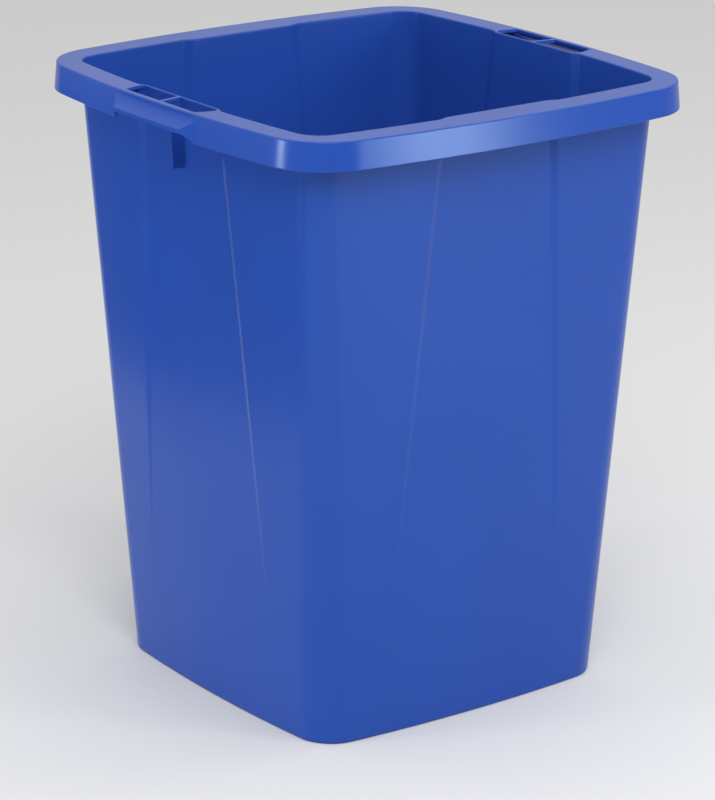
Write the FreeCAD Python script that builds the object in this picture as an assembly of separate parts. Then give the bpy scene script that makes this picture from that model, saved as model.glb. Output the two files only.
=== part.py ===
import FreeCAD
import Part
import math
import os

# Square office waste bin: one polypropylene moulding, modelled region by region.
# Millimetres.  Origin on the floor under the bin's middle, +Z up,
# grips on the -X (left) and +X (right) sides, plain sides on -Y (front) and +Y (back).

# Overall
height = 610.0            # floor to the top of the rim
rim_width_x = 490.0       # over the skirt's lower edge, left to right
rim_width_y = 490.0       # over the skirt's lower edge, front to back
base_width_x = 362.0      # over the foot
base_width_y = 362.0

# Walls
wall = 2.8                # thickness of walls and corners
base_corner_radius = 42.0
mouth_corner_radius = 36.0
base_bow = 6.0            # how far the middle of a side stands out from its ends
mouth_bow = 9.3
panel_half_width = 60.0   # flat centre panel at the mouth
panel_step = 9.0          # width of the slanted step beside the panel
panel_recess = 4.2        # depth of that step
flank_at_base = 30.0      # plain wall left between the panel and the corner at the foot
step_at_base = 0.8        # width that the step tapers to

# Foot
foot_height = 12.0        # height of the foot's own wall
foot_edge_radius = 2.5
foot_land = 14.0          # width of the ring that stands on the floor
floor_lift = 4.0          # gap between the floor and the raised bottom

# Rim
ledge_x = 24.5            # flat ledge from wall to rim edge, left and right
ledge_y = 28.5            # the same, front and back
rim_thickness = 3.0
rim_corner_radius = 65.0
rim_bow = 10.2
skirt_depth = 27.4
skirt_flare = 2.6         # how much further out the skirt's lower edge stands
rim_edge_radius = 1.3

# Grips
grip_half_length = 55.0
grip_reach = 11.0         # lip of the grip beyond the rim's top edge
grip_lip_top = 14.5       # below the rim's top
grip_lip_bottom = 18.8
grip_flare_start = 5.0
grip_bend_reach = 0.28    # point the flare's curve passes through, as shares of its reach
grip_bend_drop = 0.62     # and of its drop
grip_inner_sink = 0.4     # inner curve of the flare sits lower, as a share of its thickness
cheek_length = 12.0       # grip's end to the plain skirt
window_strip = 6.6        # outer border of the hand windows
window_half_length = 58.0   # at that border
window_half_at_wall = 62.0
divider = 4.0             # web between the two windows
divider_at_strip = -1.5   # middle of the web, towards the back of the bin
divider_at_wall = 3.0
rib_thickness = 3.2
rib_reach = 11.0
rib_drop = 68.5           # rim's top to the rib's lower end

# Worked out from the sizes above
rim_half_x = rim_width_x / 2 - skirt_flare
rim_half_y = rim_width_y / 2 - skirt_flare
mouth_half_x = rim_half_x - ledge_x
mouth_half_y = rim_half_y - ledge_y
base_half_x = base_width_x / 2
base_half_y = base_width_y / 2
skirt_bottom = height - skirt_depth
ledge_bottom = height - rim_thickness
cheek_end = grip_half_length + cheek_length
margin = 20.0             # how far cutting tools run past what they cut
plate_lap = 0.1           # share of the plate's thickness that the ledge runs into it

os.makedirs("parts", exist_ok=True)


def vector(x, y, z):
    return FreeCAD.Vector(x, y, z)


def line(a, b):
    return Part.makeLine(a, b)


def arc(a, middle, b):
    return Part.Arc(a, middle, b).toShape()


def box(x_range, y_range, z_range):
    low = vector(x_range[0], y_range[0], z_range[0])
    return Part.makeBox(x_range[1] - x_range[0], y_range[1] - y_range[0],
                        z_range[1] - z_range[0], low)


def quarter_turned(point, turns):
    """The point turned about Z by a number of quarter turns."""
    turned = point
    for _ in range(turns):
        turned = vector(-turned.y, turned.x, turned.z)
    return turned


class Outline:
    """A square with bowed sides and round corners, at one height."""

    def __init__(self, half_x, half_y, radius, bow, z):
        self.half_x = half_x
        self.half_y = half_y
        self.radius = radius
        self.bow = bow
        self.z = z

    def grown(self, amount):
        return Outline(self.half_x + amount, self.half_y + amount,
                       self.radius + amount, self.bow, self.z)

    def raised(self, z):
        return Outline(self.half_x, self.half_y, self.radius, self.bow, z)

    def side(self, turns):
        """How far a side stands out at its middle, and half its length between corners."""
        if turns % 2 == 0:
            return self.half_y, self.half_x - self.radius
        return self.half_x, self.half_y - self.radius

    def bow_radius(self, turns):
        _, length = self.side(turns)
        return (length ** 2 + self.bow ** 2) / (2 * self.bow)

    def stand_out(self, turns, along):
        """Distance of the bowed side from the Z axis, at a place along the side."""
        half, _ = self.side(turns)
        bow_radius = self.bow_radius(turns)
        return half - bow_radius + math.sqrt(bow_radius ** 2 - along ** 2)

    def point(self, turns, along, out=None):
        if out is None:
            out = self.stand_out(turns, along)
        return quarter_turned(vector(along, -out, self.z), turns)

    def bowed(self, turns, start, end):
        middle = self.point(turns, (start + end) / 2)
        return arc(self.point(turns, start), middle, self.point(turns, end))

    def corner(self, turns):
        """Corner arc from the end of one side to the start of the next."""
        start = self.point(turns, self.side(turns)[1])
        end = self.point(turns + 1, -self.side(turns + 1)[1])
        slopes = sum(math.asin(self.side(t)[1] / self.bow_radius(t)) for t in (turns, turns + 1))
        sweep = math.pi / 2 - slopes
        chord = end - start
        outward = vector(chord.y, -chord.x, 0).normalize()
        middle = (start + end) * 0.5 + outward * (chord.Length / 2 * math.tan(sweep / 4))
        return arc(start, middle, end)

    def plain_wire(self):
        edges = []
        for turns in range(4):
            length = self.side(turns)[1]
            edges += [self.bowed(turns, -length, length), self.corner(turns)]
        return Part.Wire(edges)

    def panel_sizes(self, turns, at_mouth):
        """Half width, step and recess of a side's centre panel, which fades out at the foot."""
        if at_mouth:
            return panel_half_width, panel_step, panel_recess
        _, length = self.side(turns)
        return length - flank_at_base - step_at_base, step_at_base, 0

    def panelled_wire(self, at_mouth):
        """The same outline with a stepped panel in the middle of every side."""
        edges = []
        for turns in range(4):
            length = self.side(turns)[1]
            half_width, step, recess = self.panel_sizes(turns, at_mouth)
            outer = half_width + step
            panel_out = self.stand_out(turns, outer) - recess
            if not at_mouth:
                panel_out = self.stand_out(turns, half_width)
            left = self.point(turns, -half_width, panel_out)
            right = self.point(turns, half_width, panel_out)
            panel = line(left, right) if at_mouth else self.bowed(turns, -half_width, half_width)
            edges += [self.bowed(turns, -length, -outer),
                      line(self.point(turns, -outer), left),
                      panel,
                      line(right, self.point(turns, outer)),
                      self.bowed(turns, outer, length),
                      self.corner(turns)]
        return Part.Wire(edges)

    def slab(self, top):
        """Upright solid on this outline, up to a height."""
        return Part.Face(self.plain_wire()).extrude(vector(0, 0, top - self.z))


base = Outline(base_half_x, base_half_y, base_corner_radius, base_bow, 0)
mouth = Outline(mouth_half_x, mouth_half_y, mouth_corner_radius, mouth_bow, height)
rim_top = Outline(rim_half_x, rim_half_y, rim_corner_radius, rim_bow, height)
skirt_foot = rim_top.grown(skirt_flare).raised(skirt_bottom)


def between(low, high, z):
    """Outline at a height on the straight taper from one outline to another."""
    share = (z - low.z) / (high.z - low.z)

    def mixed(name):
        return getattr(low, name) * (1 - share) + getattr(high, name) * share

    return Outline(mixed("half_x"), mixed("half_y"), mixed("radius"), mixed("bow"), z)


def taper(low, high):
    return Part.makeLoft([low.plain_wire(), high.plain_wire()], True, True)


foot_top = between(base, mouth, foot_height)


def wall_block(inset):
    """Solid block bounded by the walls' outer faces, moved inwards by an inset."""
    wires = [foot_top.grown(-inset).panelled_wire(False), mouth.grown(-inset).panelled_wire(True)]
    return Part.makeLoft(wires, True, True)


def side_wedge(turns, low, high):
    """Block that covers one side between its corners, a little above and below the outlines."""
    corners = []
    for z in (low.z - margin, high.z + margin):
        length = between(low, high, z).side(turns)[1]
        ends = [(-length, 0), (length, 0), (length, far), (-length, far)]
        points = [quarter_turned(vector(along, -out, z), turns) for along, out in ends]
        corners.append(Part.makePolygon(points + points[:1]))
    return Part.makeLoft(corners, True, True)


far = rim_width_x + rim_width_y
outer_block = wall_block(0)
side_names = ["front", "right", "back", "left"]
corner_names = ["front_right", "back_right", "back_left", "front_left"]
corner_signs = [(1, -1), (1, 1), (-1, 1), (-1, -1)]


def split_sides(shell, low, high):
    """The four side pieces of a ring, and its four corner pieces."""
    wedges = [side_wedge(turns, low, high) for turns in range(4)]
    sides = [shell.common(wedge) for wedge in wedges]
    left_over = shell.cut(wedges).Solids
    corners = []
    for sign_x, sign_y in corner_signs:
        corners += [s for s in left_over
                    if s.CenterOfMass.x * sign_x > 0 and s.CenterOfMass.y * sign_y > 0]
    return sides, corners


def make_walls():
    shell = outer_block.cut(wall_block(wall))
    sides, corners = split_sides(shell, foot_top, mouth)
    parts = {"wall_" + name: side for name, side in zip(side_names, sides)}
    for name, corner in zip(corner_names, corners):
        parts["wall_corner_" + name] = corner
    return parts


def make_foot_ring():
    """Lowest band of the walls, the ring that stands on the floor, and its rise to the bottom."""
    outer = taper(base, foot_top)
    lowest = [e for e in outer.Edges if e.BoundBox.ZMax < foot_edge_radius / 2]
    outer = outer.makeFillet(foot_edge_radius, lowest)
    band = outer.cut(taper(base.grown(-wall), foot_top.grown(-wall)))
    land = base.grown(-wall / 2).slab(wall).common(outer)
    inner_edge = base.grown(-foot_land)
    rise = inner_edge.slab(floor_lift + wall).cut(inner_edge.grown(-wall).slab(floor_lift + wall))
    return band.fuse([land.cut(inner_edge.slab(wall)), rise]).removeSplitter()


def make_floor_panel():
    """Flat bottom of the bin, lifted off the floor inside the foot ring."""
    return base.grown(-foot_land - wall).raised(floor_lift).slab(floor_lift + wall)


def make_rim_ring():
    """Whole rim before the grips are let in: a flat ledge with a skirt on its outer edge."""
    outer = taper(skirt_foot, rim_top)
    upper_edges = [e for e in outer.Edges if e.BoundBox.ZMin > height - rim_edge_radius / 2]
    outer = outer.makeFillet(rim_edge_radius, upper_edges)
    hollow = taper(skirt_foot.grown(-rim_thickness), rim_top.grown(-rim_thickness))
    hollow = hollow.cut(box((-far, far), (-far, far), (ledge_bottom, height + margin)))
    return outer.cut([hollow, outer_block])


def plate_section(turns, along, reach, lip_top, lip_bottom):
    """Section of a rim's outer plate whose lower end stands out from its top edge by a reach."""
    out = rim_top.stand_out(turns, along)

    def at(beyond, down):
        return quarter_turned(vector(along, -out - beyond, height - down), turns)

    bend = (reach * grip_bend_reach,
            grip_flare_start + (lip_top - grip_flare_start) * grip_bend_drop)
    inward = -rim_thickness
    sink = rim_thickness * grip_inner_sink
    corner_cut = rim_edge_radius * (1 - math.sqrt(0.5))
    edges = [arc(at(-rim_edge_radius, 0), at(-corner_cut, corner_cut), at(0, rim_edge_radius)),
             line(at(0, rim_edge_radius), at(0, grip_flare_start)),
             arc(at(0, grip_flare_start), at(*bend), at(reach, lip_top)),
             line(at(reach, lip_top), at(reach, lip_bottom)),
             line(at(reach, lip_bottom), at(reach + inward, lip_bottom)),
             line(at(reach + inward, lip_bottom), at(reach + inward, lip_top + sink)),
             arc(at(reach + inward, lip_top + sink), at(bend[0] + inward, bend[1] + sink),
                 at(inward, grip_flare_start + sink)),
             line(at(inward, grip_flare_start + sink), at(inward, 0)),
             line(at(inward, 0), at(-rim_edge_radius, 0))]
    return Part.Wire(edges)


def make_grip_plate(turns):
    """Flared plate that the fingers pull on, with a cheek at each end back to the skirt."""
    sections = []
    for share in (-1, -0.5, 0, 0.5, 1):
        along = share * grip_half_length
        sections.append(plate_section(turns, along, grip_reach, grip_lip_top, grip_lip_bottom))
    lip_height = grip_lip_bottom - grip_lip_top
    ends = [plate_section(turns, end, skirt_flare, skirt_depth - lip_height, skirt_depth)
            for end in (-cheek_end, cheek_end)]
    return Part.makeLoft([ends[0]] + sections + [ends[1]], True, True)


def side_block(turns, along, out, z):
    """Upright block on one side of the bin, from ranges along the side, outwards and up."""
    corners = [(along[0], out[0]), (along[1], out[0]), (along[1], out[1]), (along[0], out[1])]
    points = [quarter_turned(vector(a, -o, z[0]), turns) for a, o in corners]
    face = Part.Face(Part.makePolygon(points + points[:1]))
    return face.extrude(vector(0, 0, z[1] - z[0]))


def back_sign(turns):
    """Direction along a grip's side that leads to the back of the bin."""
    return 1 if turns == 1 else -1


def window(turns, sign):
    """One hand window through the rim's ledge, widening towards the wall."""
    outer = rim_top.side(turns)[0] - window_strip
    inner = mouth.side(turns)[0] - margin
    wall_face = mouth.side(turns)[0] - panel_recess
    overrun = (outer - inner) / (outer - wall_face)

    def carried(at_strip, at_wall):
        return at_strip + (at_wall - at_strip) * overrun

    back = back_sign(turns)
    near_strip = divider_at_strip * back + sign * divider / 2
    near_wall = divider_at_wall * back + sign * divider / 2
    plan = [(near_strip, outer), (sign * window_half_length, outer),
            (sign * carried(window_half_length, window_half_at_wall), inner),
            (carried(near_strip, near_wall), inner)]
    points = [quarter_turned(vector(a, -o, ledge_bottom - margin), turns) for a, o in plan]
    face = Part.Face(Part.makePolygon(points + points[:1]))
    return face.extrude(vector(0, 0, 2 * margin + rim_thickness))


def make_grip(turns, rim_ring):
    """Grip with its piece of the ledge and the two hand windows."""
    plate = make_grip_plate(turns)
    plate_overlap = rim_top.stand_out(turns, cheek_end) - rim_thickness * (1 - plate_lap)
    ledge = rim_ring.common(side_block(turns, (-cheek_end, cheek_end), (0, plate_overlap),
                                       (ledge_bottom, height)))
    ledge = ledge.cut([window(turns, -1), window(turns, 1)])
    return plate.fuse(ledge)


def make_rib(turns):
    """Upright rib under the divider, from the wall's face outwards."""
    face = mouth.side(turns)[0] - panel_recess
    lower = height - rib_drop
    lower_face = between(base, mouth, lower).side(turns)[0] - panel_recess
    profile = [(face - margin, ledge_bottom), (face + rib_reach, ledge_bottom),
               (lower_face + rib_reach, lower), (face - margin, lower)]
    start = divider_at_wall * back_sign(turns) - rib_thickness / 2
    points = [quarter_turned(vector(start, -o, z), turns) for o, z in profile]
    across = quarter_turned(vector(rib_thickness, 0, 0), turns)
    return Part.Face(Part.makePolygon(points + points[:1])).extrude(across).cut(outer_block)


def make_rim():
    ring = make_rim_ring()
    sides, corners = split_sides(ring, skirt_foot, rim_top)
    parts = {"rim_front": sides[0], "rim_back": sides[2]}
    for name, corner in zip(corner_names, corners):
        parts["rim_corner_" + name] = corner
    for name, turns in (("right", 1), ("left", 3)):
        for end, sign in (("front", -1), ("back", 1)):
            sign_along = sign if turns == 1 else -sign
            reach_along = sorted((sign_along * cheek_end, sign_along * far))
            block = side_block(turns, reach_along, (0, far), (0, height + margin))
            parts["rim_%s_%s" % (name, end)] = sides[turns].common(block)
        parts["grip_" + name] = make_grip(turns, ring)
        parts["grip_rib_" + name] = make_rib(turns)
    return parts


bin_parts = {"foot_ring": make_foot_ring(), "floor_panel": make_floor_panel()}
bin_parts.update(make_walls())
bin_parts.update(make_rim())
for node, shape in bin_parts.items():
    shape.exportStep("parts/%s.step" % node)
    print(node, "solids", len(shape.Solids), "volume", round(shape.Volume), "valid", shape.isValid())
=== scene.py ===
# Square office waste bin in blue polypropylene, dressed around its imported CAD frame.
import bpy
import bmesh
import math
from mathutils import Matrix, Vector


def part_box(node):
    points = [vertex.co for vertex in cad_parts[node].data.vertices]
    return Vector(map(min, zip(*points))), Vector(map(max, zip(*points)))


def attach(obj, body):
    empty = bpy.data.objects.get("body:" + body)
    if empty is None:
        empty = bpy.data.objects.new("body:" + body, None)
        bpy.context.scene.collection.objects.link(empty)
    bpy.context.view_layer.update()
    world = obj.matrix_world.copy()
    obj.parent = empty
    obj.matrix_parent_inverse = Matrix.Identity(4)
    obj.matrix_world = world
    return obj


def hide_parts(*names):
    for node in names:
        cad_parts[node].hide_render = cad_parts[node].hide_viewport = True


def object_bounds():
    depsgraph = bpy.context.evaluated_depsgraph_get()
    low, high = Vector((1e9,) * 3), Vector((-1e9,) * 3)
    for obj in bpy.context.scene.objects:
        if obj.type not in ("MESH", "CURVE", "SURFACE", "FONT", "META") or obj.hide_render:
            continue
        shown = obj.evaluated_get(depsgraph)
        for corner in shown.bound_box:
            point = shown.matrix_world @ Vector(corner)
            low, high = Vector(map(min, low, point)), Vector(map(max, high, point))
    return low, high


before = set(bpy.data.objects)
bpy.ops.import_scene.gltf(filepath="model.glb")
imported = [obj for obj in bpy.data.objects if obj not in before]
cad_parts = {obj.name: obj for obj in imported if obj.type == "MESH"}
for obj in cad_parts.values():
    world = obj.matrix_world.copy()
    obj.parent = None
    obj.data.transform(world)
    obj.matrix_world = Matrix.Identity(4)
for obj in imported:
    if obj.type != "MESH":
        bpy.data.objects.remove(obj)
cadLow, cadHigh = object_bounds()
print("frame loaded,", len(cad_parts), "nodes")

mm = 0.001
tiny = 0.01 * mm                   # points closer than this are one point

# what the boxes of the frame don't tell about the moulding
mouldingLook = {
    "footBow": 6.0 * mm,         # how far a side's middle stands out from its ends
    "mouthBow": 9.3 * mm,
    "rimBow": 10.2 * mm,
    "footRadius": 42 * mm,
    "mouthRadius": 36 * mm,
    "rimRadius": 65 * mm,
    "cornerSegments": 22,
    "filletSegments": 5,
}

# the stepped panel in the middle of each wall
panelLook = {
    "halfWidth": 60 * mm,        # at the mouth
    "stepWidth": 9 * mm,
    "stepDepth": 4.2 * mm,
    "stepWidthLow": 0.8 * mm,    # at the foot
    "flankLow": 30 * mm,         # plain wall beside the panel at the foot
    "fadesAt": 0.2,              # share of the height where the step has run out
    "softness": 0.15,            # rounding of its two creases, as a share of the step
}


# An outline is a square with bowed sides and round corners at one height.
# A side goes by its quarter turns from the front: 0 front, 1 right, 2 back, 3 left.
def makeOutline(halfX, halfY, radius, bow, z):
    return {"halfX": halfX, "halfY": halfY, "radius": radius, "bow": bow, "z": z}


def grown(outline, amount):
    return makeOutline(outline["halfX"] + amount, outline["halfY"] + amount,
                       outline["radius"] + amount, outline["bow"], outline["z"])


def between(low, high, z):
    share = (z - low["z"]) / (high["z"] - low["z"])
    return {key: low[key] + (high[key] - low[key]) * share for key in low}


def lengthOf(outline, side):       # from a side's middle to where its corner starts
    return (outline["halfX"] if side % 2 == 0 else outline["halfY"]) - outline["radius"]


def bowRadius(outline, side):
    return (lengthOf(outline, side) ** 2 + outline["bow"] ** 2) / (2 * outline["bow"])


def standOut(outline, side, along):
    half = outline["halfY"] if side % 2 == 0 else outline["halfX"]
    r = bowRadius(outline, side)
    return half - r + math.sqrt(r * r - along * along)


def place(side, along, out, z):    # from a side's own directions to the bin's
    x, y = along, -out
    for _ in range(side % 4):
        x, y = -y, x
    return Vector((x, y, z))


def sidePlace(outline, side, along):
    return place(side, along, standOut(outline, side, along), outline["z"])


def cornerPlace(outline, side, share):
    start = sidePlace(outline, side, lengthOf(outline, side))
    end = sidePlace(outline, side + 1, -lengthOf(outline, side + 1))
    slopes = [math.asin(lengthOf(outline, s) / bowRadius(outline, s)) for s in (side, side + 1)]
    sweep = math.pi / 2 - sum(slopes)
    chord = end - start
    outward = Vector((chord.y, -chord.x, 0)).normalized()
    radius = chord.length / 2 / math.sin(sweep / 2)
    centre = (start + end) / 2 - outward * radius * math.cos(sweep / 2)
    return centre + Matrix.Rotation((share - 0.5) * sweep, 3, "Z") @ outward * radius


# the outlines that everything hangs on, read off the frame's boxes
height = cadHigh.z
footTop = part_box("foot_ring")[1]
mouth = makeOutline(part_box("wall_front")[1].x + mouldingLook["mouthRadius"],
                    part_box("wall_left")[1].y + mouldingLook["mouthRadius"],
                    mouldingLook["mouthRadius"], mouldingLook["mouthBow"], height)
footShare = footTop.z / height
foot = makeOutline((footTop.x - mouth["halfX"] * footShare) / (1 - footShare),
                   (footTop.y - mouth["halfY"] * footShare) / (1 - footShare),
                   mouldingLook["footRadius"], mouldingLook["footBow"], 0)
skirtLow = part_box("rim_front")[0]
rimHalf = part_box("rim_front")[1].x + mouldingLook["rimRadius"]
rimTop = makeOutline(rimHalf, rimHalf, mouldingLook["rimRadius"], mouldingLook["rimBow"], height)
skirtFlare = -skirtLow.y - rimHalf
skirtDepth = height - skirtLow.z
skirtFoot = dict(grown(rimTop, skirtFlare), z=skirtLow.z)
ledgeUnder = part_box("grip_rib_left")[1].z      # the ribs end under the ledge


# A column is one upright line of points around the bin: on a side, as a place in one of
# its three stretches (0 panel, 1 step, 2 flank), or on the corner after that side.
def sideColumn(side, stretch, share, sign):
    return {"side": side, "stretch": stretch, "share": share, "sign": sign, "corner": False}


dividerShares = [1 / 60, 3 / 60, 5 / 60]      # of the panel: the divider's two edges and middle
windowShare = 0.94                 # of the panel: a hand window's end at the wall
cheekShare = 7 / 9                 # of the step: the grip's end
panelShares = [0, *dividerShares, 0.1, 0.15, 0.25, 0.4, 0.55, 0.7, 0.82, 0.9, windowShare, 0.97]
stepShares = [0, 0.1, 0.2, 0.35, 0.5, 0.65, cheekShare, 0.87, 0.94]
flankShares = [0, 0.01, 0.022, 0.045, 0.09, 0.16, 0.25, 0.36, 0.48, 0.6, 0.72, 0.82, 0.9, 0.96]


def halfSide(side, sign):          # from the middle of a side to just before its corner
    return [sideColumn(side, stretch, share, sign)
            for stretch, shares in enumerate((panelShares, stepShares, flankShares))
            for share in shares]


def cornerColumns(side):
    count = mouldingLook["cornerSegments"]
    return [{"side": side, "share": i / count, "corner": True} for i in range(count)]


def leftHalf(side):                # from the corner before a side to the side's middle
    return [sideColumn(side, 2, 1, -1)] + halfSide(side, -1)[::-1]


def wholeSide(side):
    return leftHalf(side)[:-1] + halfSide(side, 1)


def knots(outline, side, atMouth):
    length = lengthOf(outline, side)
    if atMouth:
        panel, step = panelLook["halfWidth"], panelLook["stepWidth"]
    else:
        step = panelLook["stepWidthLow"]
        panel = length - panelLook["flankLow"] - step
    return [0, panel, panel + step, length]


def alongOf(column, marks):
    low, high = marks[column["stretch"]], marks[column["stretch"] + 1]
    return column["sign"] * (low + (high - low) * column["share"])


def mouthAlong(column):
    return alongOf(column, knots(mouth, column["side"], True))


def softStep(t, softness):         # 0 below 0, 1 above 1, with rounded bends
    rise = math.sqrt(t * t + softness ** 2) - math.sqrt((t - 1) ** 2 + softness ** 2)
    return (rise + 1) / 2


def wallPoint(column, inset, z):
    outline = grown(between(foot, mouth, z), -inset)
    side = column["side"]
    if column["corner"]:
        return cornerPlace(outline, side, column["share"])
    share = max(0, (z - footTop.z) / (height - footTop.z))
    low = knots(between(foot, mouth, footTop.z), side, False)
    high = knots(mouth, side, True)
    marks = [a + (b - a) * share for a, b in zip(low, high)]
    marks[3] = lengthOf(outline, side)
    along = alongOf(column, marks)
    out = standOut(outline, side, along)
    crown = max(0, out - standOut(outline, side, marks[2])) * share
    fades = panelLook["fadesAt"]
    depth = panelLook["stepDepth"] * max(0, (share - fades) / (1 - fades))
    reached = softStep((marks[2] - abs(along)) / (marks[2] - marks[1]), panelLook["softness"])
    return place(side, along, out - reached * (depth + crown), z)


def rimPoint(column, outline):
    if column["corner"]:
        return cornerPlace(outline, column["side"], column["share"])
    along = alongOf(column, knots(outline, column["side"], True))
    return sidePlace(outline, column["side"], along)


def arcPoints(centreA, centreB, radius, startDegrees, endDegrees):   # a small fillet's section
    count = mouldingLook["filletSegments"]
    angles = [math.radians(startDegrees + (endDegrees - startDegrees) * i / count)
              for i in range(count + 1)]
    return [(centreA + radius * math.cos(a), centreB + radius * math.sin(a)) for a in angles]


def evenly(start, end, count):
    return [start + (end - start) * i / count for i in range(count + 1)]


def addGrid(bm, rows, closeRows=False, closeColumns=False):
    verts = [[bm.verts.new(p) for p in row] for row in rows]
    for i in range(len(verts) if closeRows else len(verts) - 1):
        upper, lower = verts[i], verts[(i + 1) % len(verts)]
        for j in range(len(upper) if closeColumns else len(upper) - 1):
            k = (j + 1) % len(upper)
            bm.faces.new((upper[j], upper[k], lower[k], lower[j]))
    return verts


def joinPoints(bm):
    bmesh.ops.remove_doubles(bm, verts=bm.verts, dist=tiny)
    bmesh.ops.recalc_face_normals(bm, faces=bm.faces)


def finishPiece(bm, name, material, nodes, sharpDegrees=38):
    mesh = bpy.data.meshes.new(name)
    bm.to_mesh(mesh)
    bm.free()
    mesh.materials.append(material)
    mesh.shade_smooth()
    mesh.set_sharp_from_angle(angle=math.radians(sharpDegrees))
    piece = bpy.data.objects.new(name, mesh)
    bpy.context.scene.collection.objects.link(piece)
    weighted = piece.modifiers.new("flatFacesStayFlat", "WEIGHTED_NORMAL")
    weighted.keep_sharp = True
    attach(piece, "root")
    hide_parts(*nodes)
    print(name, "built,", len(mesh.polygons), "faces")


plasticLook = {
    "colour": (0.018, 0.068, 0.375),
    "deeperColour": (0.015, 0.062, 0.35),
    "cloudScale": 7,             # patches of slightly deeper colour, per metre
    "cloudEnds": (0.15, 0.85),   # noise values where the two colours are reached
    "roughness": 0.24,
    "roughnessSpread": 0.05,
    "specular": 0.27,
    "specularTint": (0.70, 0.94, 1.0),
    "waveScale": 9,              # slow waves left by shrinkage, per metre
    "waveHeight": 0.3 * mm,
    "grainScale": 1400,          # fine skin of the mould
    "grainHeight": 0.005 * mm,
}


def makePlastic(name, look):
    material = bpy.data.materials.new(name)
    material.use_nodes = True
    tree = material.node_tree
    shader = tree.nodes["Principled BSDF"]
    shader.inputs["Specular IOR Level"].default_value = look["specular"]
    shader.inputs["Specular Tint"].default_value = (*look["specularTint"], 1)
    coordinates = tree.nodes.new("ShaderNodeTexCoord")
    noises = {}
    for use, scale in (("cloud", look["cloudScale"]), ("wave", look["waveScale"]),
                       ("grain", look["grainScale"])):
        noises[use] = tree.nodes.new("ShaderNodeTexNoise")
        noises[use].inputs["Scale"].default_value = scale
        tree.links.new(coordinates.outputs["Object"], noises[use].inputs["Vector"])
    ramp = tree.nodes.new("ShaderNodeValToRGB")
    stops = zip(ramp.color_ramp.elements, look["cloudEnds"], (look["colour"], look["deeperColour"]))
    for stop, position, colour in stops:
        stop.position = position
        stop.color = (*colour, 1)
    ramp.color_ramp.interpolation = "EASE"
    tree.links.new(noises["cloud"].outputs["Fac"], ramp.inputs["Fac"])
    tree.links.new(ramp.outputs["Color"], shader.inputs["Base Color"])
    shine = tree.nodes.new("ShaderNodeMapRange")
    shine.inputs["To Min"].default_value = look["roughness"] - look["roughnessSpread"]
    shine.inputs["To Max"].default_value = look["roughness"] + look["roughnessSpread"]
    tree.links.new(noises["cloud"].outputs["Fac"], shine.inputs["Value"])
    tree.links.new(shine.outputs["Result"], shader.inputs["Roughness"])
    lastNormal = None
    for use, depth in (("wave", look["waveHeight"]), ("grain", look["grainHeight"])):
        bump = tree.nodes.new("ShaderNodeBump")
        bump.inputs["Distance"].default_value = depth
        tree.links.new(noises[use].outputs["Fac"], bump.inputs["Height"])
        if lastNormal:
            tree.links.new(lastNormal, bump.inputs["Normal"])
        lastNormal = bump.outputs["Normal"]
    tree.links.new(lastNormal, shader.inputs["Normal"])
    return material


bluePlastic = makePlastic("bluePolypropylene", plasticLook)
cornerEnds = [a + "_" + b for a in ("front", "back") for b in ("left", "right")]

# walls, corners and the foot: one closed skin, drawn as a section carried all round
shellLook = {
    "wallThickness": 2.8 * mm,
    "footFillet": 2.5 * mm,
    "landWidth": 14 * mm,        # ring that the bin stands on
    "bendRadius": 1.5 * mm,      # inner bends beside the bottom
    "mouthFillet": 1.4 * mm,
    "windowEdge": 1.3 * mm,      # rounding of the wall's top beside the hand windows
    "wallRows": 34,
    "coveredShare": 0.02,        # what is left of that rounding where the ledge covers it
}
bottomLow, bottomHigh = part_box("floor_panel")
bottomInset = foot["halfX"] - bottomHigh.x


def besideWindow(column):
    if column["corner"] or column["side"] % 2 == 0 or column["stretch"] > 0:
        return False
    towardsBack = column["sign"] == (1 if column["side"] == 1 else -1)
    if towardsBack and column["share"] in dividerShares:
        return False
    return column["share"] < windowShare


def shellRows(columns):
    wall = shellLook["wallThickness"]
    fillet = shellLook["footFillet"]
    bend = shellLook["bendRadius"]
    land = shellLook["landWidth"]
    edge = shellLook["windowEdge"]
    lip = shellLook["mouthFillet"]
    covered = shellLook["coveredShare"]
    soft = bend / 3
    outside = [(bottomInset, bottomLow.z), (bottomInset, soft), (bottomInset - soft, 0)]
    outside += arcPoints(fillet, fillet, fillet, 270, 180)
    outside += [(0, z) for z in evenly(footTop.z, height - 2 * edge, shellLook["wallRows"])]
    rows = [[wallPoint(c, inset, z) for c in columns] for inset, z in outside]
    for inset, z in arcPoints(edge, height - edge, edge, 180, 90):
        rows.append([wallPoint(c, inset, z) if besideWindow(c)
                     else wallPoint(c, inset * covered, height - (height - z) * covered)
                     for c in columns])
    inside = arcPoints(wall - lip, height - lip, lip, 90, 0)
    inside += [(wall, z) for z in evenly(height - 2 * lip, wall + 2 * bend, shellLook["wallRows"])]
    inside += arcPoints(wall + bend, wall + bend, bend, 180, 270)
    inside += arcPoints(land - bend, wall + bend, bend, 270, 360)
    inside += arcPoints(land + soft, bottomHigh.z - soft, soft, 180, 90)
    inside.append((bottomInset, bottomHigh.z))
    return rows + [[wallPoint(c, inset, z) for c in columns] for inset, z in inside]


allRound = []
for side in range(4):
    allRound += wholeSide(side) + cornerColumns(side)
bm = bmesh.new()
addGrid(bm, shellRows(allRound), closeRows=True, closeColumns=True)
joinPoints(bm)
wallNodes = ["wall_" + s for s in ("front", "right", "back", "left")]
finishPiece(bm, "binShell", bluePlastic,
            ["foot_ring"] + wallNodes + ["wall_corner_" + e for e in cornerEnds])

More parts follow.
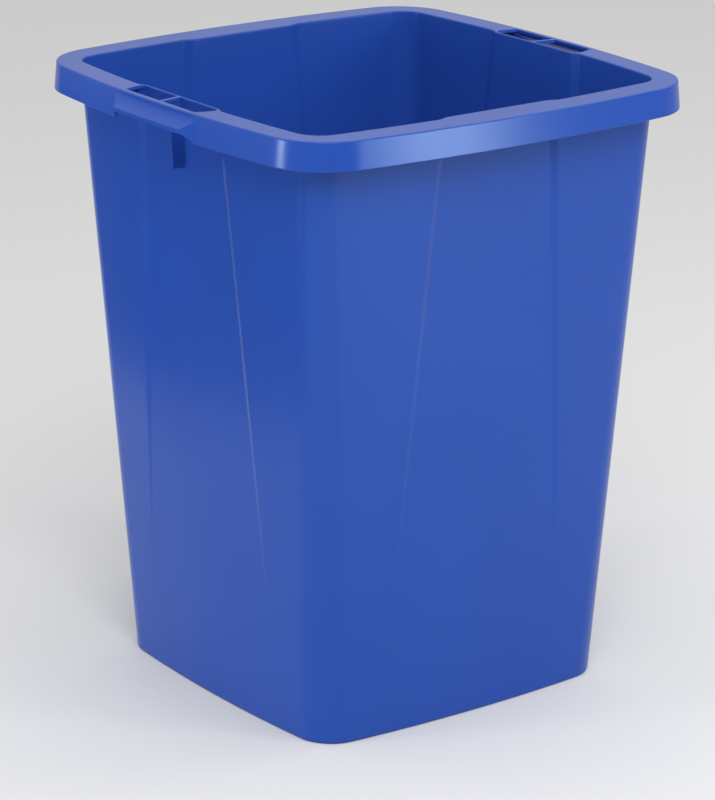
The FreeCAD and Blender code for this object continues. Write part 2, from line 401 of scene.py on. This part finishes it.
# the raised bottom, with the mark where the plastic was let in
bottomLook = {
    "rowShares": [1, 0.985, 0.95, 0.9, 0.82, 0.72, 0.6, 0.48, 0.36, 0.26, 0.18],
    "turnFrom": 0.6,             # from this share inwards the rows turn from square to round
    "turnWithin": 0.42,
    "gateRadius": 11 * mm,
    # rings of the mark: share of its radius, mm down
    "gateRings": [(1, 0), (0.9, 0), (0.8, 0.5), (0.45, 0.5), (0.3, 0.35), (0.2, 0)],
}


def bottomRows(columns, upper):
    z = bottomHigh.z if upper else bottomLow.z
    edge = [wallPoint(c, bottomInset, bottomLow.z) for c in columns]
    rows = []
    for share in bottomLook["rowShares"]:
        turn = max(0, min(1, (bottomLook["turnFrom"] - share) / bottomLook["turnWithin"]))
        row = []
        for p in edge:
            flat = Vector((p.x, p.y, 0))
            circle = flat.normalized() * bottomHigh.x
            row.append(flat * share * (1 - turn) + circle * share * turn + Vector((0, 0, z)))
        rows.append(row)
    for share, sink in bottomLook["gateRings"]:
        radius = bottomLook["gateRadius"] * share
        depth = sink * mm if upper else 0
        rows.append([Vector((p.x, p.y, 0)).normalized() * radius + Vector((0, 0, z - depth))
                     for p in edge])
    return rows


bm = bmesh.new()
upperVerts = addGrid(bm, bottomRows(allRound, True), closeColumns=True)
lowerVerts = addGrid(bm, bottomRows(allRound, False), closeColumns=True)
for j in range(len(allRound)):
    k = (j + 1) % len(allRound)
    bm.faces.new((upperVerts[0][j], upperVerts[0][k], lowerVerts[0][k], lowerVerts[0][j]))
bm.faces.new(upperVerts[-1])
bm.faces.new(lowerVerts[-1])
joinPoints(bm)
finishPiece(bm, "binBottom", bluePlastic, ["floor_panel"])

# the rim: a flat ledge with a skirt, from grip to grip round the front and round the back
rimLook = {
    "thickness": 3 * mm,
    "topFillet": 1.3 * mm,
    "bottomFillet": 0.9 * mm,
    "underFillet": 1.5 * mm,
    "ledgeRows": 5,
    "skirtRows": 7,
    "innerRows": 3,
    "outerGap": 1.3,             # fillet radii that the skirt's rows keep from its edges
    "innerLowGap": 1.5,
    "innerHighGap": 1.2,
}


def skirtOutline(inset, z):
    return grown(dict(between(skirtFoot, rimTop, z), z=z), -inset)


def rimRows(columns):
    thick = rimLook["thickness"]
    top = rimLook["topFillet"]
    low = rimLook["bottomFillet"]
    under = rimLook["underFillet"]
    gap = rimLook["outerGap"]
    lowEnd = skirtLow.z
    section = arcPoints(top, height - top, top, 90, 180)
    section += [(0, z) for z in evenly(height - top * gap, lowEnd + low * gap,
                                       rimLook["skirtRows"])]
    section += arcPoints(low, lowEnd + low, low, 180, 270)
    section += arcPoints(thick - low, lowEnd + low, low, 270, 360)
    section += [(thick, z) for z in evenly(lowEnd + low * rimLook["innerLowGap"],
                                           ledgeUnder - under * rimLook["innerHighGap"],
                                           rimLook["innerRows"])]
    section += arcPoints(thick + under, ledgeUnder - under, under, 180, 90)
    innerTop = [wallPoint(c, 0, height) for c in columns]
    outerTop = [rimPoint(c, skirtOutline(top, height)) for c in columns]
    count = rimLook["ledgeRows"]
    rows = [[a.lerp(b, i / count) for a, b in zip(innerTop, outerTop)] for i in range(count)]
    rows += [[rimPoint(c, skirtOutline(inset, z)) for c in columns] for inset, z in section]
    rows.append([wallPoint(c, 0, ledgeUnder) for c in columns])
    return rows


def rimColumns(side):              # side is the plain one in the middle of the run
    before, after = (side - 1) % 4, (side + 1) % 4
    start = [c for c in halfSide(before, 1) if abs(mouthAlong(c)) >= cheekEnd - tiny]
    end = [c for c in leftHalf(after) if abs(mouthAlong(c)) >= cheekEnd - tiny]
    return start + cornerColumns(before) + wholeSide(side) + cornerColumns(side) + end


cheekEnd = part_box("grip_left")[1].y
for side, name in ((0, "front"), (2, "back")):
    bm = bmesh.new()
    verts = addGrid(bm, rimRows(rimColumns(side)), closeRows=True)
    bm.faces.new([row[0] for row in verts])
    bm.faces.new([row[-1] for row in verts])
    joinPoints(bm)
    finishPiece(bm, name + "Rim", bluePlastic,
                ["rim_" + name] + ["rim_" + s + "_" + name for s in ("left", "right")]
                + ["rim_corner_" + name + "_" + s for s in ("left", "right")])

# the grips: a piece of ledge with two hand windows, and the flared plate below it
gripLook = {
    "halfLength": 55 * mm,
    "reach": 11 * mm,            # lip beyond the rim's top edge
    "lipTop": 14.5 * mm,         # below the rim's top
    "lipBottom": 18.8 * mm,
    "flareStart": 4 * mm,
    "flareCurve": 1.9,           # above 1 the flare starts upright and leans out towards the lip
    "flareRows": 9,
    "lipShares": (0.12, 0.5, 0.88, 1),     # rows down the lip's face
    "plateSink": 0.1,            # the plate's inner face sits lower by these shares of its
    "lipSink": 0.5,              # thickness: all of it, and more towards the lip
    "windowStrip": 6.6 * mm,     # from the windows to the rim's edge
    "windowHalf": 58 * mm,
    "windowSegments": 16,
    "windowTailSegments": 3,     # from the plate's end to the window's end
    "dividerHalf": 2 * mm,
    "dividerOuter": -1.5 * mm,   # the divider runs a little askew from the strip to the wall
    "dividerWall": 3 * mm,
    "endLean": 22,               # degrees that a window's end leans out on its way to the wall
    "endReach": 14 * mm,
    "endRound": 11 * mm,
    "endRows": 14,
    "edge": 0.5 * mm,            # rounding of windows, lip and cheeks
    "edgeOver": 28,              # degrees; flatter bends are left alone
    "edgeFromWall": 0.3 * mm,    # the joint with the wall stays sharp
    "creaseTop": 6.5 * mm,       # a cheek's crease starts this far down the skirt
    "cheekSag": 1.5,             # above 1 keeps a cheek's lower edge high near the lip
    "ridge": 0.6 * mm,           # raised line where a cheek meets the plain skirt
    "ridgeWidth": 1.6 * mm,
    "sharpDegrees": 30,
}


def gripSection(along):
    # the plate's section as (outwards, down) from the rim's top edge: share 0 grip, 1 plain skirt
    look = gripLook
    top = rimLook["topFillet"]
    thick = rimLook["thickness"]
    slope = skirtFlare / skirtDepth
    share = max(0, (abs(along) - look["halfLength"]) / (cheekEnd - look["halfLength"]))
    toEnd = (cheekEnd - abs(along)) / look["ridgeWidth"]
    ridge = look["ridge"] * max(0, 1 - abs(2 * toEnd - 1)) if toEnd < 1 else 0
    rows = []

    def blend(gripOut, gripDown, skirtDown, skirtIn=0, sag=1, proud=0):
        skirtOut = skirtDown * slope - skirtIn
        rows.append((gripOut + (skirtOut - gripOut) * share + proud * ridge,
                     gripDown + (skirtDown - gripDown) * share ** sag))

    flare = [(look["reach"] * t ** look["flareCurve"],
              look["flareStart"] + (look["lipTop"] - look["flareStart"]) * t,
              look["flareStart"] + (look["creaseTop"] - look["flareStart"]) * t)
             for t in evenly(0, 1, look["flareRows"])]
    for back, up in arcPoints(0, 0, top, 90, 0):
        rows.append((back - top, top - up))
    for out, down, skirtDown in flare:
        blend(out, down, skirtDown)
    lipDrop = look["lipBottom"] - look["lipTop"]
    for t in look["lipShares"]:
        blend(look["reach"], look["lipTop"] + lipDrop * t,
              look["creaseTop"] + (skirtDepth - look["creaseTop"]) * t, 0, look["cheekSag"], t < 1)
    blend(look["reach"] - thick, look["lipBottom"], skirtDepth, thick, look["cheekSag"])
    for out, down, skirtDown in flare[::-1]:
        sink = thick * (look["plateSink"] + look["lipSink"] * out / look["reach"])
        blend(out - thick, down + sink, skirtDown + sink, thick)
    rows.append((-thick, height - ledgeUnder))
    return rows


def wallOut(column):               # how far out the wall's face is at the mouth
    p = wallPoint(column, 0, height)
    return abs(p.x) if column["side"] % 2 else abs(p.y)


def windowEnd(sign, start, finish):
    # a window's end from its outer corner to the wall, as (along, out) points
    look = gripLook
    lean = math.radians(look["endLean"])
    first = (start[0] + look["endReach"] * math.sin(lean),
             start[1] - look["endReach"] * math.cos(lean))
    second = (finish[0] + look["endRound"], finish[1])
    points = []
    for t in evenly(0, 1, look["endRows"]):
        weights = ((1 - t) ** 3, 3 * (1 - t) ** 2 * t, 3 * (1 - t) * t * t, t ** 3)
        along, out = (sum(w * p[axis] for w, p in zip(weights, (start, first, second, finish)))
                      for axis in (0, 1))
        points.append((sign * along, out))
    return points


def addLedge(bm, side, rows):      # upper and under face of the ledge
    for z in (height, ledgeUnder):
        addGrid(bm, [[place(side, along, out, z) for along, out in row] for row in rows])


def addUpright(bm, side, line):    # a cut edge of the ledge
    addGrid(bm, [[place(side, along, out, z) for along, out in line] for z in (height, ledgeUnder)])


def addWindowEnd(bm, side, sign, stripOut):
    # the ledge between a window's end and the grip's end; returns where its columns meet
    # the strip
    look = gripLook
    columns = [c for c in halfSide(side, 1) if (c["stretch"], c["share"]) >= (0, windowShare)
               and (c["stretch"], c["share"]) <= (1, cheekShare)]
    wallLine = [(mouthAlong(c), wallOut(c)) for c in columns]
    first, last = wallLine[0][0], wallLine[-1][0]
    end = windowEnd(sign, (look["windowHalf"], stripOut), wallLine[0])
    rows = []
    for i, (along, out) in enumerate(end):
        farOut = stripOut + (wallLine[-1][1] - stripOut) * i / look["endRows"]
        rows.append([(along + (sign * cheekEnd - along) * (a - first) / (last - first),
                      out + (farOut - out) * (a - first) / (last - first)) for a, _ in wallLine])
    rows[-1] = [(sign * a, out) for a, out in wallLine]
    addLedge(bm, side, rows)
    addUpright(bm, side, end)
    addUpright(bm, side, rows[-1])
    return [along for along, _ in rows[0]]


def buildGrip(side):
    look = gripLook
    towardsBack = 1 if side == 1 else -1
    stripOut = rimHalf - look["windowStrip"]
    outerMiddle = look["dividerOuter"] * towardsBack
    wallMiddle = look["dividerWall"] * towardsBack
    dividerWall = wallOut(sideColumn(side, 0, 0, 1))
    bm = bmesh.new()
    stripAlong = [outerMiddle]
    for sign in (1, -1):
        near = outerMiddle + sign * look["dividerHalf"]
        lipEnd = sign * look["halfLength"]
        window = evenly(near, lipEnd, look["windowSegments"])
        window += evenly(lipEnd, sign * look["windowHalf"], look["windowTailSegments"])[1:]
        addUpright(bm, side, [(a, stripOut) for a in window])
        addUpright(bm, side, [(near, stripOut),
                              (wallMiddle + sign * look["dividerHalf"], dividerWall)])
        half = window + addWindowEnd(bm, side, sign, stripOut)[1:]
        stripAlong = stripAlong + half if sign > 0 else half[::-1] + stripAlong
    steps = (-look["dividerHalf"], 0, look["dividerHalf"])
    wallEnd = [(wallMiddle + a, dividerWall) for a in steps]
    addLedge(bm, side, [[(outerMiddle + a, stripOut) for a in steps], wallEnd])
    addUpright(bm, side, wallEnd)
    sections = []
    for along in stripAlong:
        edge = standOut(rimTop, side, along)
        section = [place(side, along, edge + out, height - down)
                   for out, down in gripSection(along)]
        sections.append([place(side, along, stripOut, height)] + section
                        + [place(side, along, stripOut, ledgeUnder)])
    addGrid(bm, sections)
    bmesh.ops.remove_doubles(bm, verts=bm.verts, dist=tiny)
    for sign in (1, -1):           # close the two ends
        rim = [e for e in bm.edges if e.is_boundary and
               all(abs(alongIn(side, v.co) - sign * cheekEnd) < tiny for v in e.verts)]
        bmesh.ops.contextual_create(bm, geom=rim)
    joinPoints(bm)
    softenGrip(bm)
    return bm


def alongIn(side, p):
    return p.y if side == 1 else -p.y


def softenGrip(bm):
    # round the edges of the windows, the lip and the cheeks; the joints with wall and rim
    # stay sharp
    outEdge = rimHalf + gripLook["edge"]
    wallSide = wallOut(sideColumn(1, 1, cheekShare, 1)) + gripLook["edgeFromWall"]
    chosen = []
    for e in bm.edges:
        if len(e.link_faces) != 2 or e.calc_face_angle() < math.radians(gripLook["edgeOver"]):
            continue
        ends = [(abs(v.co.x), abs(v.co.y), v.co.z) for v in e.verts]
        if any(y > cheekEnd - tiny for _, y, _ in ends):
            continue
        onTop = all(z > height - tiny and x > wallSide for x, _, z in ends)
        onPlate = all(x > outEdge and z < height - gripLook["flareStart"] for x, _, z in ends)
        if onTop or onPlate:
            chosen.append(e)
    bmesh.ops.bevel(bm, geom=chosen, offset=gripLook["edge"], segments=2, profile=0.5,
                    affect="EDGES", clamp_overlap=True)
    bmesh.ops.recalc_face_normals(bm, faces=bm.faces)


for side, name in ((3, "left"), (1, "right")):
    finishPiece(buildGrip(side), name + "Grip", bluePlastic, ["grip_" + name],
                gripLook["sharpDegrees"])

# the ribs that carry the dividers, with a small fillet at the wall
ribLook = {
    "thickness": 3.2 * mm,
    "fillet": 0.4 * mm,
    "edge": 0.7 * mm,
    "bendShare": 0.3,            # how far the middle point of a fillet or edge lies along it
    "rows": 10,
    "sharpDegrees": 50,
}


def ribRows(side, low, high, reach):
    half = ribLook["thickness"] / 2
    fillet = ribLook["fillet"]
    edge = ribLook["edge"]
    bend = ribLook["bendShare"]
    middle = gripLook["dividerWall"] * (1 if side == 1 else -1)
    column = sideColumn(side, 0, dividerShares[1], 1)
    rows = []
    heights = [low, low + edge * bend, low + edge] + evenly(low + 2 * edge, high, ribLook["rows"])
    for z, shrink in zip(heights, [edge, edge * bend, 0] + [0] * (ribLook["rows"] + 1)):
        p = wallPoint(column, 0, z)
        face = abs(p.x)
        right = [(half - shrink + a, face + b) for a, b in
                 ((fillet, 0), (fillet * bend, fillet * bend), (0, fillet))]
        right += [(half - shrink, face + reach - edge),
                  (half - shrink - edge * bend, face + reach - edge * bend - shrink),
                  (half - shrink - edge, face + reach - shrink)]
        loop = right + [(-a, b) for a, b in right[::-1]]
        rows.append([place(side, middle + a, b, z) for a, b in loop])
    return rows


for side, name in ((3, "left"), (1, "right")):
    ribLow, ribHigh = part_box("grip_rib_" + name)
    wallTop = wallPoint(sideColumn(side, 0, 0, 1), 0, ribHigh.z)
    reach = max(abs(ribLow.x), abs(ribHigh.x)) - abs(wallTop.x)
    bm = bmesh.new()
    verts = addGrid(bm, ribRows(side, ribLow.z, ribHigh.z, reach), closeColumns=True)
    bm.faces.new(verts[0])
    bm.faces.new(verts[-1])
    joinPoints(bm)
    finishPiece(bm, name + "Rib", bluePlastic, ["grip_rib_" + name], ribLook["sharpDegrees"])

# the camera looks down on the corner between the front and the left grip
cameraLook = {
    "place": (-1.99775, -2.69946, 1.35919),
    "azimuth": -36.4205,         # degrees
    "elevation": 17.921,
    "roll": 0.291,
    "lens": 159.46,              # mm
    "sensor": 36,
}
azimuth, elevation, roll = (math.radians(cameraLook[k]) for k in ("azimuth", "elevation", "roll"))
backward = Vector((math.sin(azimuth) * math.cos(elevation),
                   -math.cos(azimuth) * math.cos(elevation), math.sin(elevation)))
level = Vector((math.cos(azimuth), math.sin(azimuth), 0))
upward = level.cross(-backward)
across = level * math.cos(roll) + upward * math.sin(roll)
upward = upward * math.cos(roll) - level * math.sin(roll)
turned = Matrix((across, upward, backward)).transposed().to_4x4()
camera = bpy.data.objects.new("camera", bpy.data.cameras.new("camera"))
camera.matrix_world = Matrix.Translation(cameraLook["place"]) @ turned
camera.data.lens = cameraLook["lens"]
camera.data.sensor_width = cameraLook["sensor"]
bpy.context.scene.collection.objects.link(camera)
bpy.context.scene.camera = camera
print("camera set")

# soft studio light: a pale room that is brightest overhead and at the back, and softboxes
roomLook = {
    "front": (0.04, 0.04, 0.04),     # how bright the room is towards each side
    "left": (0.04, 0.04, 0.04),
    "back": (1.15, 1.15, 1.15),
    "right": (0.04, 0.04, 0.04),
    "above": (1.0, 1.0, 1.0),
    "strength": 1.0,
}
# each box: compass direction from the bin in degrees (0 front, 90 right, -90 left), height,
# distance, width, tall, watts
softboxes = {
    "overFrontLeft": (-30, 2.6, 2.4, 1.6, 1.4, 48),
    "overFront": (12, 1.9, 2.9, 1.8, 1.2, 15),
    "overRight": (75, 2.4, 2.4, 1.4, 1.2, 12),
    "frontRight": (25, 0.48, 2.15, 0.5, 0.6, 13),
    "rightSpot": (30, 1.1, 2.2, 0.4, 0.5, 8),
    "leftStrip": (-104, 0.48, 2.2, 0.4, 0.6, 14),
}
boxUse = {
    "aimedAt": 0.75,             # share of the bin's height
    "shineOnly": ("frontRight",),    # low boxes that only show as a gleam on the rim
}


def addSoftbox(name, compass, up, distance, width, tall, watts):
    angle = math.radians(compass)
    lamp = bpy.data.lights.new(name, "AREA")
    lamp.shape = "RECTANGLE"
    lamp.size = width
    lamp.size_y = tall
    lamp.energy = watts
    holder = bpy.data.objects.new(name, lamp)
    holder.location = (distance * math.sin(angle), -distance * math.cos(angle), up)
    aim = Vector((0, 0, height * boxUse["aimedAt"])) - holder.location
    holder.rotation_euler = aim.to_track_quat("-Z", "Y").to_euler()
    holder.visible_diffuse = name not in boxUse["shineOnly"]
    bpy.context.scene.collection.objects.link(holder)


for name, numbers in softboxes.items():
    addSoftbox(name, *numbers)


def addSheet(name, segments, size, look):    # a flat sheet of the studio, not of the bin
    bm = bmesh.new()
    bmesh.ops.create_grid(bm, x_segments=segments, y_segments=segments, size=size)
    mesh = bpy.data.meshes.new(name)
    bm.to_mesh(mesh)
    bm.free()
    sheet = bpy.data.objects.new(name, mesh)
    bpy.context.scene.collection.objects.link(sheet)
    material = bpy.data.materials.new(name + "Surface")
    material.use_nodes = True
    shader = material.node_tree.nodes["Principled BSDF"]
    shader.inputs["Base Color"].default_value = (*look["colour"], 1)
    shader.inputs["Roughness"].default_value = look["roughness"]
    mesh.materials.append(material)
    return sheet


# a dark card behind the left side, seen only as a reflection in the left wall
cardLook = {
    "compass": -119,
    "distance": 0.86,
    "width": 1.45,
    "tall": 0.5,
    "colour": (0.02, 0.02, 0.02),
    "roughness": 0.9,
}
angle = math.radians(cardLook["compass"])
card = addSheet("darkCard", 2, 0.5, cardLook)
card.scale = (cardLook["width"], cardLook["tall"], 1)
card.location = (cardLook["distance"] * math.sin(angle), -cardLook["distance"] * math.cos(angle),
                 cardLook["tall"] / 2)
card.rotation_euler = (math.pi / 2, 0, angle)
card.visible_camera = False
card.visible_diffuse = False
card.visible_shadow = False

floorLook = {
    "size": 9,
    "colour": (0.66, 0.66, 0.66),
    "roughness": 0.9,
}
addSheet("floor", 8, floorLook["size"], floorLook)

world = bpy.data.worlds.new("paleRoom")
world.use_nodes = True
tree = world.node_tree
background = tree.nodes["Background"]
background.inputs["Strength"].default_value = roomLook["strength"]
coordinates = tree.nodes.new("ShaderNodeTexCoord")
parts = tree.nodes.new("ShaderNodeSeparateXYZ")
tree.links.new(coordinates.outputs["Generated"], parts.inputs["Vector"])
mixA, mixB, mixResult = 6, 7, 2    # a Mix node's colour sockets


def spreadAlong(axis, start):      # 0 at start and 1 at the axis's far end, with soft ends
    spread = tree.nodes.new("ShaderNodeMapRange")
    spread.interpolation_type = "SMOOTHSTEP"
    spread.inputs["From Min"].default_value = start
    tree.links.new(parts.outputs[axis], spread.inputs["Value"])
    return spread.outputs["Result"]


def mixRoom(factor, low, high):
    mix = tree.nodes.new("ShaderNodeMix")
    mix.data_type = "RGBA"
    for socket, value in ((0, factor), (mixA, low), (mixB, high)):
        if isinstance(value, (int, float, tuple)):
            mix.inputs[socket].default_value = value
        else:
            tree.links.new(value, mix.inputs[socket])
    return mix.outputs[mixResult]


pale = {name: (*roomLook[name], 1) for name in ("front", "left", "back", "right", "above")}
acrossRoom = mixRoom(spreadAlong("X", -1), pale["left"], pale["right"])
alongRoom = mixRoom(spreadAlong("Y", -1), pale["front"], pale["back"])
roomWalls = mixRoom(0.5, acrossRoom, alongRoom)
wholeRoom = mixRoom(spreadAlong("Z", 0), roomWalls, pale["above"])
tree.links.new(wholeRoom, background.inputs["Color"])
bpy.context.scene.world = world
bpy.context.scene.view_settings.view_transform = "Standard"
print("floor and light set")
